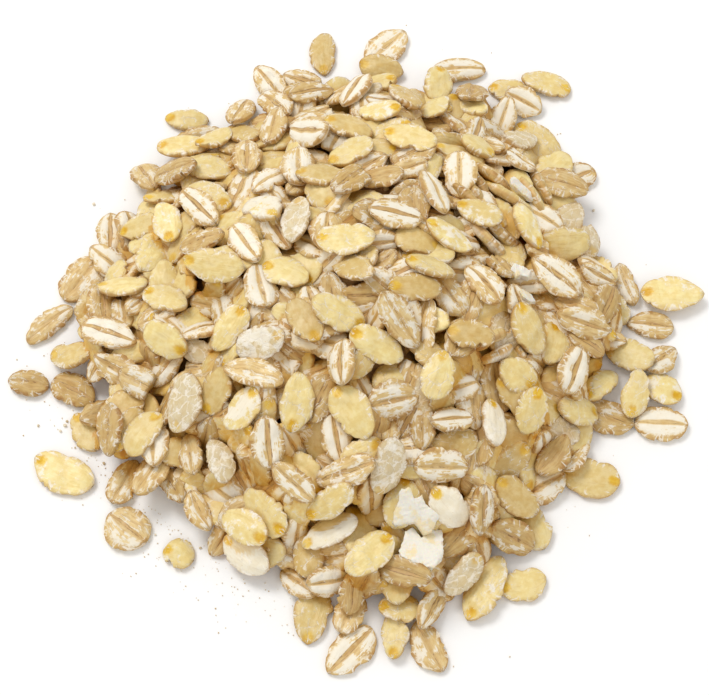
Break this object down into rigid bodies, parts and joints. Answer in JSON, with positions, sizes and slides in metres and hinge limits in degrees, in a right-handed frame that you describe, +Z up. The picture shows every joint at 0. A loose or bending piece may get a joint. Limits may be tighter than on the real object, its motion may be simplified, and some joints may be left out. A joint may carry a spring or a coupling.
{
  "type": "heap of rolled barley flakes",
  "caption": "Low loose heap of rolled barley flakes lying on a flat surface, with a few stray flakes round its foot.",
  "frame": {"origin": "on the table plane, under the middle of the heap with its loose flakes", "axes": "+Z up from the table; +X to the right and +Y away from the viewer of the reference picture"},
  "size_m": [0.1105, 0.1128, 0.0223],
  "materials": {
    "barley": "matt, dry and slightly waxy bran with chalky starch"
  },
  "bodies": {
    "root": {"barley_heap": "barley", "loose_flake_1": "barley", "loose_flake_2": "barley", "loose_flake_3": "barley"}
  },
  "joints": []
}
